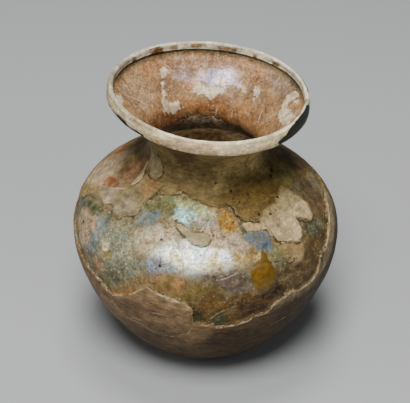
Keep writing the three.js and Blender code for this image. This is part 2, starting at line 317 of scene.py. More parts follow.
film = {
    "oliveTopLeft": area("#454932", [-94, 42], [-90, 45.5], [-82, 48.5], [-73, 50], [-64, 49.6], [-62, 47.6],
        [-70, 47], [-78, 46], [-81, 43], [-84, 40], soft=0.8, pearl=0.1, grain=0.5),
    "slateStreak": area("#76807c", [-66, 43], [-64, 48.4], [-57, 49.4], [-52, 47.8], [-54, 45.4],
        [-56, 40.5], [-60, 38], [-64, 38.6], soft=0.8, pearl=0.3, grain=0.8),
    "granularGrey": area("#83826a", [-57, 37], [-56, 46], [-52, 49.4], [-42, 50.6], [-34, 47], [-30, 45],
        [-28, 41], [-34, 37.4], [-44, 33.4], soft=1.6, pearl=0.35, grain=1.0),
    "oliveLowLeft": area("#5f5a3d", [-52, 33.8], [-50, 37.4], [-44, 39.4], [-37, 38.8], [-34, 37.6],
        [-42, 33.5], [-47, 31], soft=1.2, pearl=0.15, grain=0.8),
    "pearlyPink": area("#a89a7e", [-39, 50.6], [-31, 52], [-20, 53.2], [-13, 51.5], [-10, 50], [-16, 48.4],
        [-24, 47.4], [-31, 47], [-36, 48], soft=1.0, pearl=0.3, grain=0.5),
    # near white where the key light is reflected: pearly film, partly painted highlight
    "pearlAndHighlight": area("#ecede4", [-20, 44.6], [-22, 47.6], [-18, 49.6], [-8, 50.6], [4, 50], [13, 49],
        [18, 47.4], [17, 46], [8, 44.8], [-4, 44.2], [-16, 44.4], soft=1.8, pearl=1.0, grain=0.35),
    "blueViolet": area("#8c8c94", [-27, 43.8], [-26, 45.2], [-20, 46.8], [-15, 46.4], [-12, 44.9],
        [-18, 43.7], [-20, 41.1], [-24, 40.8], soft=0.9, pearl=0.9, grain=1.0),
    "goldenBrown": area("#84683e", [-37, 35.3], [-33, 39.4], [-27, 42], [-19, 42.8], [-10, 43.8], [-9, 40.2],
        [-6, 37], [-13, 36], [-21, 38], [-27, 38.6], soft=0.8, pearl=0.25, grain=0.35),
    "orangeSpot": area("#a8683a", [-12, 42.3], [-9, 42.6], [-8, 41.4], [-10, 40.4], [-12.5, 41.1], pearl=0.1,
        grain=0.5),
    "orangeSliver": area("#865f30", [-44, 31], [-38, 34], [-33, 36.4], [-29.6, 36], [-31, 34.2], [-39, 31.2],
        soft=0.4, pearl=0.1, grain=0.4),
    "yellowGreen": area("#6f6a42", [-41, 54], [-38, 57], [-20, 58.4], [-9, 58], [-2, 56.9], [-6, 54.8],
        [-21, 54.6], [-31, 53.6], soft=1.0, pearl=0.6, grain=0.7),
    "greenRim": area("#9dab83", [-22, 56.6], [-10, 57], [-4, 56.2], [8, 55.5], [9, 54.6], [0, 54.8],
        [-6, 55.2], [-20, 55.8], soft=0.4, pearl=0.8, grain=0.4),
    "cyanSpot": area("#88b4ba", [-20, 55.4], [-8, 55.5], [-4, 54.2], [-8, 53], [-14, 53.6], [-20, 53.9],
        soft=0.6, pearl=1.0, grain=0.5),
    "greyUnderCyan": area("#8f8b80", [-4, 54.4], [8, 54.2], [9, 53], [4, 52], [-3, 52.8], [-8, 53.2],
        soft=0.8, pearl=0.5, grain=0.7),
    "tanRight": area("#a48f72", [1, 53], [9, 53.2], [20, 52.6], [22, 50.6], [25, 48.4], [20, 47.6],
        [10, 49.6], [3, 50.2], soft=0.7, pearl=0.4, grain=0.6),
    "orangeGold": area("#6a4a18", [6, 56.6], [13, 56.2], [18.5, 55.8], [21, 54.2], [20, 52.9], [12, 52.6],
        [9.5, 53.8], [12, 54.8], soft=1.2, pearl=0.2, grain=0.5),
    "goldBand": area("#a58b52", [13, 48.2], [20, 48.2], [27, 46.8], [25, 45], [15, 45.2], soft=0.5,
        pearl=0.5, grain=0.6),
    "violetGrey": area("#5a4e46", [-4, 43.4], [6, 44.6], [14, 44.6], [18.5, 42.5], [20, 38], [16, 36.4],
        [6, 38.4], [4, 41], soft=1.2, pearl=0.35, grain=0.5),
    "oliveBrownLow": area("#675630", [-9, 42], [0, 42.4], [5, 41], [7, 38], [1, 35.2], [-8, 35.6],
        [-10, 38.1], soft=0.8, pearl=0.25, grain=0.35),
    "brownRight": area("#4c3c22", [31, 43], [42, 42], [50, 44], [56, 46], [60, 48], [66, 48], [74, 51],
        [90, 52], [86, 44.6], [66, 40], [58, 38], [52, 32.6], [36, 32], [28, 33], [28, 38.5], soft=0.8,
        pearl=0.1, grain=0.35),
    "brownLow": area("#5e451f", [-4, 36], [6, 37.5], [18, 37.2], [28, 36], [30, 31], [20, 28], [6, 26],
        [-5, 28], soft=0.9, pearl=0.15, grain=0.35),
    "redBrown": area("#2a1103", [22, 35.7], [27, 37.4], [31, 38.4], [35, 37.6], [34, 34.6], [30, 33.7],
        [24, 33.7], soft=0.5, pearl=0.05, grain=0.3),
    "redBrownLow": area("#3f2a14", [12, 33.4], [15, 35.2], [21, 33.6], [27, 32.8], [27, 29.9], [21, 29.3],
        [16, 28.4], [12.5, 29.6], soft=0.4, pearl=0.05, grain=0.3),
    "oliveRight": area("#5b5a42", [55, 48.8], [61, 47.2], [65, 47.3], [72, 45.2], [69, 43], [62, 43.8],
        [57, 45.6], soft=0.4, pearl=0.3, grain=0.7),
    "tongueTail": area("#8a744e", [37.6, 48], [44, 46.6], [52.6, 46], [51.4, 44], [48.6, 42.5], [45, 41.2],
        [40, 41.7], [37.4, 43], [37.6, 44.7], [39.4, 45.6], pearl=0.05, grain=0.4, rise=0.25),
    "oliveFlake": area("#6f6a40", [34.4, 47.2], [37.6, 47.8], [39.2, 45.6], [37.4, 44.6], [36, 43.3],
        [31.4, 44], [32, 46.2], pearl=0.1, grain=0.4, rise=0.15),
    "slateLeft": area("#6a746f", [-42, 50.6], [-41, 52.6], [-39, 53.9], [-30, 54.6], [-27, 53.6],
        [-29, 52.4], [-35, 51.4], soft=0.12, ragged=0.3, pearl=0.25, grain=0.3, rise=-0.1),
    "slateRight": area("#515b5f", [20.5, 51.2], [27, 51.3], [36, 50.6], [36, 48.7], [34, 46.6], [29, 46.8],
        [24.6, 48.6], [21.6, 50], soft=0.2, ragged=0.5, pearl=0.3, grain=0.3, rise=-0.1),
    # a shallow recess, darker as painted shade below the film's ledge
    "darkNotch": area("#3f371c", [-7, 34.6], [-4.4, 34], [-0.6, 30.4], [1.2, 28.2], [-3, 27.4], [-6, 28],
        [-7, 30.7], soft=0.5, pearl=0.1, grain=0.5, rise=-0.1),
    "greenNotch": area("#44462c", [1.4, 28.8], [3.4, 30.4], [6, 31.6], [8.4, 29.4], [9.2, 26.8], [5, 25.8],
        soft=0.4, pearl=0.15, grain=0.5),
    "pinkPatch": area("#9a8266", [-81, 45], [-76, 46.8], [-71, 47], [-64, 48], [-60, 46.2], [-62, 43.5],
        [-62, 41.3], [-67, 40.2], [-66, 37.6], [-70, 36.8], [-74, 39.2], [-80, 40.2], soft=0.35, pearl=0.15,
        grain=0.8, rise=0.2),
    "pinkLowLeft": area("#8c6c4e", [-57, 38.8], [-52, 40], [-49.6, 38], [-50.4, 35.6], [-54, 34.4],
        [-58, 35.4], pearl=0.2, grain=0.8, rise=0.1),
    "goldFleckLeft": area("#8f7c3c", [-51, 43.4], [-48.6, 44], [-46, 42.4], [-48.6, 41.6], soft=0.25,
        pearl=0.3, grain=0.8),
    "whiteFleckLeft": area("#d8cfa8", [-51, 44.6], [-49, 45.4], [-47.8, 43.8], [-49.8, 43.4], soft=0.25,
        pearl=0.6, grain=0.8),
    "goldGlow": area("#94712e", [10, 54.2], [14, 55.2], [19, 54.6], [21, 53], [18, 51.8], [12, 51.8],
        soft=0.6, pearl=0.45, grain=0.6),
    "pinkShoulderRight": area("#57462f", [69, 51], [80, 52], [92, 51.6], [90, 47.4], [81, 45.4], [74, 45],
        [69, 47.5], soft=0.7, pearl=0.1, grain=0.4),
}
glass = {
    "amberDrop": area("#624810", [20.2, 41.2], [20.6, 43.2], [22, 44.8], [24.4, 45.7], [26.8, 45.7],
        [27.4, 46.9], [28.8, 47.3], [30, 46.5], [29.6, 45.3], [31, 43.8], [31.4, 41.4], [30.2, 38.8],
        [27.4, 37.1], [24, 37], [21.4, 38.8], gloss=0.3, rise=0.3),
    "lipGlassLeft": area("#23251a", [-76, 75.9], [-69.6, 76.6], [-63, 77.1], [-57, 77], [-52, 76.1],
        [-46, 76.8], [-40.5, 76.4], [-38.5, 75.4], [-46, 73.8], [-60, 73.4], [-76, 74.2], [-80, 75.2],
        rise=-0.15),
    "lipGlassRight": area("#24261a", [37, 76.6], [40, 77.3], [45, 77.9], [49, 78.8], [55, 79.7], [61, 80.4],
        [70, 80.6], [76, 80.4], [79, 79.2], [82, 77.6], [88, 77.6], [92, 79.6], [100, 80.2], [112, 80.4],
        [138, 80.4], [150, 78.8], [146, 75], [110, 73.4], [80, 73.2], [60, 73.6], [45, 74.6], rise=-0.15),
}
flakes = {
    "lobeFlake": area("#a0906a", [-17, 53.6], [-11, 53.2], [-6, 52.2], [-1, 52.3], [3, 51.9], [4.4, 51],
        [2, 50.1], [-1, 49.9], [-5.6, 50.5], [-11, 51.7], [-15, 52.8], rise=0.2),
    "tanBar": area("#a08a60", [23, 53], [28, 52.8], [35, 51.8], [37, 50.9], [31, 51.1], [24.6, 51.4],
        rise=0.12),
    "neckFlake": area("#8a7d5a", [-71, 60], [-66, 62.6], [-57, 63], [-49, 62.4], [-45.6, 61.1],
        [-44.6, 59.6], [-48, 58.5], [-56, 58.5], [-62, 59.4], rise=0.2),
    "curlFlake": area("#93835f", [-63, 55.5], [-61, 56.4], [-63, 57.9], [-68, 59.2], [-74, 60.2],
        [-70, 58.6], [-66.6, 57], rise=0.15),
}
crust = {
    # lighter crust on the neck's right under the mouth, partly painted light in the mouth's shadow
    "neckRightAndLight": area("#a08b58", [6, 58.5], [10, 64], [22, 70], [50, 71], [70, 67], [76, 60.6], [62, 57.8],
        [30, 57.4], soft=2.0),
    "creamTongue": area("#a8946f", [36, 52.2], [46, 53.2], [58, 53.8], [67, 53.2], [71, 51.4], [70.4, 49],
        [68, 46.8], [63.2, 46], [59, 47.8], [56, 49], [54.4, 46.6], [52.6, 45.2], [48, 44.8], [42.6, 45.6],
        [38, 47], [36.8, 49.3], [36, 50.8], soft=0.9, rise=0.12),
    "paleLipRight": area("#7f7053", [30, 32], [39, 34.6], [46, 33.4], [53, 34.5], [57, 37], [62, 40],
        [71, 43.2], [80, 45.6], [92, 47], [96, 45], [86, 42.6], [76, 38.8], [66, 35.4], [58, 32], [50, 29.8],
        [40, 30.6], [30, 29.6], soft=0.7),
    "pinkShoulderLeft": area("#76583e", [-84, 53.4], [-90, 56], [-84, 60.5], [-70, 60.6], [-64, 58.4],
        [-64, 56.4], [-68, 55], [-78, 54], soft=0.8),
    "paleShoulderLeft": area("#9a8468", [-112, 48], [-116, 54], [-104, 56], [-90, 55], [-84, 54.2],
        [-70, 54.8], [-65, 54], [-74, 52.6], [-82, 51.4], [-88, 49.6], [-96, 47.4], soft=0.9),
    "orangeLeft": area("#7a4c2a", [-86, 52.4], [-86.6, 53.2], [-80, 54.2], [-71, 54.4], [-70, 53.6],
        [-76, 52.8], [-81, 52], rise=-0.12),
    "orangeFarLeft": area("#8a5230", [-128, 52], [-124, 53.6], [-114, 54], [-112, 52.2], [-120, 51.4],
        soft=0.4, rise=-0.12),
    "tanAboveWindow": area("#756849", [-84, 48.8], [-80, 51], [-67, 53.6], [-62, 56], [-50, 57.4],
        [-41, 56.6], [-43, 53.7], [-52, 50.4], [-68, 49.4], soft=1.0),
    "orangeTan": area("#8a6a42", [-57, 56.6], [-52, 58.2], [-43, 58.4], [-40.6, 56.6], [-42.4, 55.4],
        [-50, 55.6], soft=0.4, rise=0.08),
    "tanLeft": area("#8c7f66", [-78, 50.5], [-73, 52.8], [-66, 53.4], [-60.4, 52.6], [-63, 50.9],
        [-70, 50.2], rise=0.1),
    "tanMiddle": area("#7b6e56", [-60, 51.4], [-57, 54], [-48, 54.4], [-43.6, 53.6], [-47, 52], [-53, 50.9],
        rise=0.1),
    "oliveShoulder": area("#665026", [12, 57], [22, 60], [45, 60], [66, 57], [68, 54.4], [50, 54.6],
        [30, 54.4], [16, 56.4], soft=1.6),
    "paleAboveTongue": area("#96855c", [36, 52], [34, 53], [40, 53.4], [52, 53.6], [66, 54.8], [70, 53],
        [66, 51.6], [50, 51.8], soft=0.7),
    # painted shade on the right of the neck, under the mouth
    "darkNeckRight": area("#6f6439", [66, 57.4], [78, 58.4], [92, 56.4], [94, 52.6], [78, 52.6], [70, 53.8],
        soft=0.9),
    "pinkNeckRight": area("#55452e", [94, 54], [100, 56], [118, 54], [128, 50], [118, 47], [106, 49.4],
        [94, 52.8], soft=1.2),
    # brown crust under the near rim, partly painted shade where the rim overhangs
    "brownAndShadeUnderRim": area("#53402a", [-34, 76], [-20, 76], [-8, 74], [-6, 68], [-16, 65], [-28, 64],
        [-32, 70], soft=0.8),
    "brownLowLeft": area("#6a523b", [-44, 29], [-36, 31], [-26, 32.8], [-19, 32.6], [-24, 28.6], [-34, 26.6],
        [-44, 26], soft=1.0),
    # painted shade: darker crust on the lower right of the body
    "darkLowRight": area("#41321f", [2, 24.6], [12, 25.4], [24, 25], [40, 24], [54, 20], [48, 12], [30, 9],
        [10, 12], [-4, 18], soft=1.4),
}
rimPatches = {
    "bandBrownLeft": area("#6a4c2c", [-139, 79.6], [-147, 79.7], [-151, 76.8], [-141, 76.6]),
    "bandSmallLeft": area("#5c4a32", [-125, 78.9], [-128, 78.4], [-129, 76.5], [-125, 77]),
    "bandTan": area("#8a7250", [-168, 79.4], [-178, 79.5], [-178, 77.9], [-168, 77.9]),
    "bandTanLeft": area("#8a7250", [-154, 79.2], [-159, 79], [-159, 77.5], [-154, 77.7]),
    "bandBrownRight": area("#7c6242", [175, 78.8], [162, 79], [163, 76.9], [174, 77.2]),
    "bandSpot": area("#4e3b22", [151.4, 78.7], [148.8, 78.6], [149, 76.9], [151.4, 77.4]),
    "bandSpotRight": area("#6a5334", [138, 78.6], [131.6, 79], [132, 77.4], [138, 77]),
    "spotFarRight": area("#533c20", [84, 79.6], [78, 79.8], [77, 77.6], [84, 77.6]),
}
nearRim = {
    "pinkNearLeft": area("#9c8062", [-36, 76.4], [-24, 77.8], [-10, 78.4], [-8, 76.8], [-20, 75.8],
        [-34, 75], soft=0.7),
    "pinkNearMiddle": area("#a08868", [-7, 78.2], [3, 78.9], [8, 77.6], [2, 76], [-5, 76.4], soft=0.8),
}
inside = {
    "creamLeft": area("#c3b08e", [-106, 71.6], [-114, 74.4], [-124, 74], [-126, 70.4], [-118, 68.4],
        [-108, 69], soft=0.4, ragged=1.6, pearl=0.5),
    "creamHigh": area("#c9b79a", [-150, 75], [-165, 75.4], [-180, 75], [-178, 73.8], [-162, 74],
        [-150, 73.6], soft=0.4, ragged=1.4, pearl=0.6),
    "taupeRight": area("#84705c", [158, 75.6], [140, 76], [118, 76.2], [112, 74.4], [128, 73.4], [146, 74.2],
        soft=1.0, pearl=0.3),
    # the far inner wall where the key light is reflected: violet film, partly painted highlight, brightest in
    # the core
    "violetFilmAndHighlight": area("#c4b0b4", [-151, 71.8], [-158, 72.6], [-168, 72.2], [-179, 72.6], [168, 73.9],
        [156, 73], [150, 71], [158, 69.8], [177, 69.8], [-170, 70.2], soft=0.9, pearl=0.9),
    "violetFilmAndHighlightCore": area("#e6dcea", [176, 71.4], [173, 72.6], [169, 73.4], [161, 72.6], [159, 71], [166, 70.2],
        [174, 70.3], soft=0.5, pearl=1.0),
    "pinkStreak": area("#c08f7c", [-152, 71.2], [-159, 71.8], [-175, 70.6], [-174, 69.8], [-160, 70.8],
        soft=0.4, pearl=0.5),
    "brownFar": area("#8d6848", [-120, 75.4], [-150, 75.8], [-179, 76.4], [150, 76.2], [132, 74.6],
        [128, 70], [142, 73], [160, 74.8], [-170, 73.8], [-150, 73.4], [-130, 72.6], soft=1.0, pearl=0.2),
    "greyRight": area("#7c6a58", [131, 75.8], [116, 76.2], [104, 75.9], [108, 73.4], [125, 72.8], soft=0.8,
        pearl=0.3),
    "tanLeft": area("#93775a", [-90, 72], [-100, 75.4], [-126, 75.2], [-132, 71], [-126, 67.6], [-106, 67.6],
        soft=1.2, pearl=0.3),
    "orangeBright": area("#8a5c32", [-166, 65.6], [180, 66.2], [164, 67.8], [154, 67.2], [156, 62.4],
        [179, 62], [-168, 62.6], soft=0.9, pearl=0.15),
    "brownNeckLeft": area("#6e4a2c", [-106, 65.8], [-129, 66.2], [-146, 65], [-156, 63], [-156, 58],
        [-130, 58], [-104, 60], soft=1.0, pearl=0.1),
    "orangeNeckRight": area("#8d6743", [150, 68.4], [140, 69.4], [128, 68.8], [112, 66], [108, 60],
        [130, 58], [150, 60], soft=1.0, pearl=0.15),
}
insideFlakes = {
    "dripMiddle": area("#cbbd9f", [-166, 69.8], [-171, 70.2], [-179, 69.8], [173, 69.8], [167, 69.6],
        [165, 68.9], [169, 68.3], [172, 67.8], [175, 67.2], [177, 66.8], [179, 67.2], [-177, 68],
        [-171, 67.9], [-167, 68.4], rise=0.15),
    "dripLeft": area("#c5b597", [-143, 74.2], [-148, 74], [-149, 72.9], [-145, 71.9], [-143, 70.7],
        [-141, 69.3], [-138, 68.2], [-141, 67.2], [-149, 66.6], [-151, 65], [-144, 64.1], [-135, 65.2],
        [-131, 66.9], [-132, 68.4], [-137, 70], [-139, 71.5], [-143, 72.6], rise=0.15),
    "hookRight": area("#c0b294", [110, 75.6], [104, 76], [98, 75.8], [98, 74.9], [103, 74.2], [104, 73.2],
        [98, 72.8], [90, 73.6], [84, 74.4], [80, 74.2], [78, 72.6], [86, 70.8], [95, 70.6], [102, 71.4],
        [109, 72.7], [112, 74], rise=0.18),
    "spotsRight": area("#c3b196", [142, 71.6], [135, 72.4], [131.6, 71.3], [132, 69.8], [134.4, 69],
        [137, 70], [139.6, 69.8], rise=0.12),
    "spotFarRight": area("#b8a484", [151, 71.4], [146, 71.8], [145, 70.4], [149, 69.8], rise=0.12),
    "smearLeft": area("#b7a88c", [-82, 76], [-92, 75.6], [-96, 74.6], [-90, 73.6], [-80, 74.4], rise=0.1),
}
# the low crust hue is partly painted shade, the floor hue is paler as painted light deep inside, and the dark
# hue serves painted shadows
basis = {
    "film": "#7d6d4c", "filmGold": "#8a6e40", "filmGreen": "#636350",
    "crustUpper": "#7c6942", "crustShoulder": "#6d5930", "crustLowAndShade": "#55462f", "crustLowLeft": "#7d6548",
    "crustRim": "#d2be96", "band": "#c9bfa6", "funnel": "#957450", "neckWall": "#8c6640",
    "dirt": "#7f725c", "dark": "#3a2c1c", "floor": "#bdb4a2",
}
hues = {name: np.array(linearColour(code)) for name, code in basis.items()}
# where the dirt inside ends: highest at the back, lower beside it
dirt = {
    "height": 62.2, "wavers": 1.1, "crumbles": 0.6, "highestAt": -176, "lowerBeside": 3.6, "beside": (8, 44),
}


def plain(name):
    return np.tile(hues[name], (count, 1))


def blend(under, over, share):
    return under + (over - under) * share[:, None]


def painted(base, patches, zone, extras=None, ragged=1.0, soft=0.3):
    # soft colours laid one over another, with their pearl, grain and rise
    global rise
    tint = base
    for patch in patches.values():
        field = areaField(patch["outline"]) + patch.get("ragged", ragged) * fray
        width = 1.6 * patch.get("soft", soft)
        mask = smooth(-width, width, field) * zone * (1 - 0.4 * smooth(0, 0.6, rough["fine"]))
        tint = blend(tint, patch["colour"], mask)
        for name, values in (extras or {}).items():
            values += (patch.get(name, values) - values) * mask
        rise += patch.get("rise", 0) * smooth(-0.3, 0.3, field) * zone
    return tint


def layered(patches, zone, ragged):
    # crisp areas kept as one field, each with its own colour
    global rise
    field, tint, shine = np.full(count, -deepIn), plain("film"), np.zeros(count)
    for patch in patches.values():
        own = np.where(zone, areaField(patch["outline"]) + ragged * waver, -deepIn)
        nearest = own > field
        tint[nearest] = patch["colour"]
        shine[nearest] = patch.get("gloss", 0)
        rise += patch["rise"] * smooth(-0.25, 0.25, own)
        field = np.maximum(field, own)
    return field, tint, shine


rise, pearl, grain = np.zeros(count), np.full(count, 0.3), np.full(count, 0.6)
variation = smooth(-0.5, 0.9, rough["broad"] + 0.4 * rough["middle"])
filmTint = plain("film") * (0.75 + 0.5 * variation)[:, None]
filmTint = blend(filmTint, hues["filmGold"], 0.8 * smooth(0.1, 0.5, rough["hue"]))
filmTint = blend(filmTint, hues["filmGreen"], 0.8 * smooth(0.0, -0.5, rough["hue"]))
filmTint = painted(filmTint, film, isBody, {"pearl": pearl, "grain": grain})

washes = [  # hue, the heights where it starts and where it is full, how far those waver, side
    ("crustShoulder", 62, 57, 0, smooth(-30, 20, angle)),
    # the lower crust's colour, partly painted shade on the lower body
    ("crustLowAndShade", 44, 38, 2, 1),
    ("crustLowLeft", 42, 36, 0, smooth(115, 60, abs(turnsFrom(-60)))),
    ("crustRim", 75, 76, 0.5, 1),
]
darkenings = [  # how dark, and the same
    # painted shade: darker towards the foot, more at the front
    (0.35 + 0.2 * smooth(120, 60, abs(angle)), 28, 10, 3, 1),
    # darker on the rim towards the left
    (0.28, 74.5, 76, 0, smooth(60, 25, abs(turnsFrom(-82)))),
    # painted shade: darker on the lower right side
    (0.4, 46, 38, 0, smooth(72, 28, abs(turnsFrom(62)))),
]
crustTint = plain("crustUpper")
for name, start, full, wavers, side in washes:
    crustTint = blend(crustTint, hues[name], smooth(start, full, height + wavers * rough["middle"]) * side)
crustTint = blend(crustTint, hues["band"], isBand)
crustTint *= (0.86 + 0.28 * variation)[:, None]
for dark, start, full, wavers, side in darkenings:
    crustTint *= (1 - dark * smooth(start, full, height + wavers * rough["broad"]) * side)[:, None]
crustTint = painted(crustTint, crust, isBody & (crustField > 0))
crustTint = painted(crustTint, rimPatches, isBand, ragged=0.3, soft=0.15)
crustTint = painted(crustTint, nearRim, isOutside & isRim)

glassField, glassTint, gloss = layered(glass, isOutside, 0.3)
flakeField, flakeTint, _ = layered(flakes, isBody, 0.5)
insideField, insideFlakeTint, _ = layered(insideFlakes, isInside, 0.8)
flakeTint[isInside] = insideFlakeTint[isInside]
flakeField = np.maximum(flakeField, insideField)

innerTint = plain("funnel") * (0.85 + 0.3 * variation)[:, None]
innerTint = blend(innerTint, hues["neckWall"], smooth(67.6, 65.4, height + 0.8 * rough["middle"]))
innerTint = painted(innerTint, inside, isInside, {"pearl": pearl, "grain": grain})
dirtField = dirt["height"] - height + dirt["wavers"] * rough["middle"] + dirt["crumbles"] * rough["fine"]
dirtField -= dirt["lowerBeside"] * smooth(*dirt["beside"], abs(turnsFrom(dirt["highestAt"])))
crumbs = (0.75 + 0.5 * variation) * (0.6 + 0.8 * smooth(-0.4, 0.4, rough["grainy"]))
# paler deeper inside: painted light, for the light that comes through the thin walls
dirtTint = blend(plain("dirt"), hues["floor"], isDeep * smooth(57, 50, height)) * crumbs[:, None]
# dark crumbs along the dirt's upper edge, partly painted shade under the throat's edge
crumbsAndShade = 0.75 * smooth(3.4, 0.4, dirtField) * smooth(-0.3, 0.3, rough["fine"])
dirtTint = blend(dirtTint, hues["dark"], crumbsAndShade)
# painted shadow: a dark band along the dirt's upper edge, under the throat's edge
innerTint = blend(innerTint, hues["dark"], smooth(1.8, 0.4, abs(dirtField + 0.6)) * 0.8)
crustTint = blend(crustTint, dirtTint, isInside)
filmTint = blend(filmTint, innerTint, isInside)
crustField = np.where(isInside, dirtField, crustField)
# painted shade: the underside of the rim's fold darkened
shadeUnderFold = isRim & (radius < rimMiddle) & (height < form["rimTop"] - form["foldDrop"])
crustTint = blend(crustTint, hues["dark"], shadeUnderFold * 0.8)
layers = (film, glass, flakes, crust, rimPatches, nearRim, inside, insideFlakes)
print("patches painted:", sum(map(len, layers)))

# Cracks, painted shadow lines under raised edges, pale strokes and pits

# dark lines: real cracks, and painted shadow lines under the edges of the tongue, the lobe flake, the neck
# flake and the curl
cracksAndShadowLines = {
    "leftArc": [[-42, 54.6], [-43, 55.5], [-41, 55.6], [-39.4, 57], [-38, 58], [-34, 58.4]],
    "right": [[17, 56.1], [21, 55.4], [21, 54.4], [24, 53.6], [23, 52.5], [24.4, 51.5]],
    "rightEdge": [[24, 53.3], [30, 52.6], [34, 52], [36.6, 50.9], [37.4, 49.2], [37.6, 48]],
    "underTongue": [[38, 47.8], [44, 46.7], [52, 45.8]],
    "besideTongue": [[56, 49.5], [62, 46.9], [68, 47.6]],
    "slot": [[39.6, 67.2], [41, 64.6], [43.4, 62.4]],
    "lobeUnder": [[-15, 52.5], [-11, 51.5], [-5.6, 50.3], [-1, 49.7], [2.4, 49.9], [4.8, 50.9]],
    "neckFlakeUnder": [[-58, 58.2], [-52, 58.1], [-47, 58.2], [-44, 59.4], [-45, 61.2]],
    "curlUnder": [[-62.6, 55.2], [-60.6, 56.4], [-62.6, 58], [-67, 59.4]],
    "amberTop": [[22, 44.6], [25, 45], [29.6, 44.4], [34, 43.8], [38, 43.4], [44, 42.6]],
    "lowerFold": [[-24, 39.4], [-22, 39.8], [-20, 40.7]],
    "ringA": [[40, 43.4], [42.4, 43.2], [43, 42.6], [42, 41.9]],
    "ringB": [[42, 41.9], [39.6, 42], [38.8, 42.6], [40, 43.4]],
    "darkTick": [[4, 23.5], [8, 23.2]],
    "rightStreak": [[49, 22.6], [54, 23], [60, 21.6]],
    "tongueTick": [[46.6, 45.8], [48, 45.2], [49.6, 45.3]],
}
strokes = {
    "skirtA": [[-45.6, 29.4], [-44, 26], [-40, 22.9], [-31, 22.5], [-25, 20.4], [-16, 20.3], [-8, 23.4],
        [-5.2, 27.4]],
    "tickA": [[-25, 29.4], [-22, 30.2], [-18.6, 30]],
    "tickB": [[-24.4, 26.4], [-22, 26.7], [-20, 26.5]],
    "tickC": [[-16, 31], [-13, 31], [-11, 30]],
    "tickD": [[-36, 24], [-32, 24.7], [-28, 24.4]],
    "whiteLeft": [[-42, 41], [-39, 40.7], [-36, 39.4]],
    "scratch": [[4.6, 42.4], [9, 42.6], [13.6, 43.5]],
    "sliver": [[1, 28.8], [5, 31.5], [8, 32.8], [12, 33.4]],
    "edgeFront": [[4.6, 26], [11, 26.4], [18, 27.3], [21, 28.7], [28, 28.9]],
    "edgeRight": [[28.4, 29.8], [30, 31.6], [35, 32.7], [39, 33.6], [42.6, 32.6], [47, 32.4], [53, 33.5]],
    "edgeFarRight": [[53, 33.5], [56, 35.2], [57.4, 38.6], [62, 39.1], [66, 40.5], [72, 42.3], [80, 44.2],
        [88, 45.8]],
    "edgeFarLeft": [[-78, 37.4], [-67, 34.9], [-60, 33.8], [-53, 32.9], [-47, 30.9]],
    "tickRight": [[73.4, 31.4], [72.6, 30.2]],
    "tickBrown": [[35.6, 38.2], [38.4, 39]],
    "shoulderLeft": [[-92, 51.6], [-82, 51.4], [-74, 52.6], [-65, 54.4]],
    "lowRight": [[26, 20.4], [31, 22.1], [38, 23]],
    "edgeMiddle": [[-20, 37.2], [-14, 36.2], [-10, 35.7], [-6.4, 34]],
    "edgeLeftLow": [[-44, 30.2], [-38, 32.2], [-32, 34.6], [-28.6, 36.8]],
}
innerStrokes = {
    "farRight": [[153, 66.8], [151, 62.9]],
    "right": [[122, 69.4], [116, 66], [112, 64]],
    "rightLow": [[104, 70.4], [107, 67.6], [110, 65.4]],
    "rightHook": [[92, 71.8], [97, 69.4], [101, 67.4]],
    "far": [[168, 66.8], [169.4, 62.6]],
    "leftHigh": [[-99, 74.4], [-106, 72], [-112, 69.6]],
    "leftMiddle": [[-108, 74.8], [-114, 72.8], [-121, 70]],
    "leftLow": [[-103, 70.4], [-108, 68], [-114, 65.6]],
    "leftFar": [[-124, 68.6], [-129, 66.4], [-133, 63.8]],
}
# pits as angle, height and radius
pits = [
    [-54, 63.6, 0.5], [46, 62.5, 0.25], [23, 58.1, 0.45], [10, 60, 0.35], [32, 60.3, 0.3], [36, 56.8, 0.35],
    [56, 54.1, 0.5], [65, 52.6, 0.3], [48, 54.2, 0.3], [36, 53.3, 0.45], [43, 52.6, 0.45], [30, 54.6, 0.3],
    [27, 56, 0.35], [48, 52.7, 0.3], [62, 51.4, 0.25], [67, 57, 0.5], [74, 57.4, 0.6], [-22, 50.3, 0.4],
    [-17, 53.8, 0.4], [0, 52.4, 0.35], [6, 51.7, 0.4], [-22, 52.4, 0.3], [-20, 44.9, 0.5], [-73, 43.6, 0.6],
    [-20, 46.4, 0.3], [-15, 46.3, 0.35], [12, 51.4, 0.3], [-11, 54.5, 0.25], [3, 24.6, 0.4],
    [-52, 31.6, 0.5], [-9, 54, 0.25], [19, 53.4, 0.35], [40, 59, 0.25], [-2, 62, 0.3], [16, 63, 0.3],
]


def lineFields(lines):
    nearest, side = np.full(count, 9.0), np.ones(count)
    for points in lines.values():
        signed = lineDistance(points, signed=True)
        closer = abs(signed) < nearest
        nearest = np.where(closer, abs(signed), nearest)
        side = np.where(closer, np.sign(signed), side)
    return nearest * side, smooth(1.1, 0.6, nearest)


crackAndShadowLine, crackAndShadowShare = lineFields(cracksAndShadowLines)
strokeLine, strokeShare = (
    np.where(isInside, inner, outer) for inner, outer in zip(lineFields(innerStrokes), lineFields(strokes)))
crackAndShadowShare = crackAndShadowShare * ~isInside
pitField = np.full(count, -3.0)
for at, z, size in pits:
    pitField = np.maximum(pitField, size - np.hypot(turnsFrom(at) * degreeWidth, run - runOf(z)))
pitField = np.where(isInside, -3, pitField)
print("cracks, strokes and pits laid")

# Relief, in mm

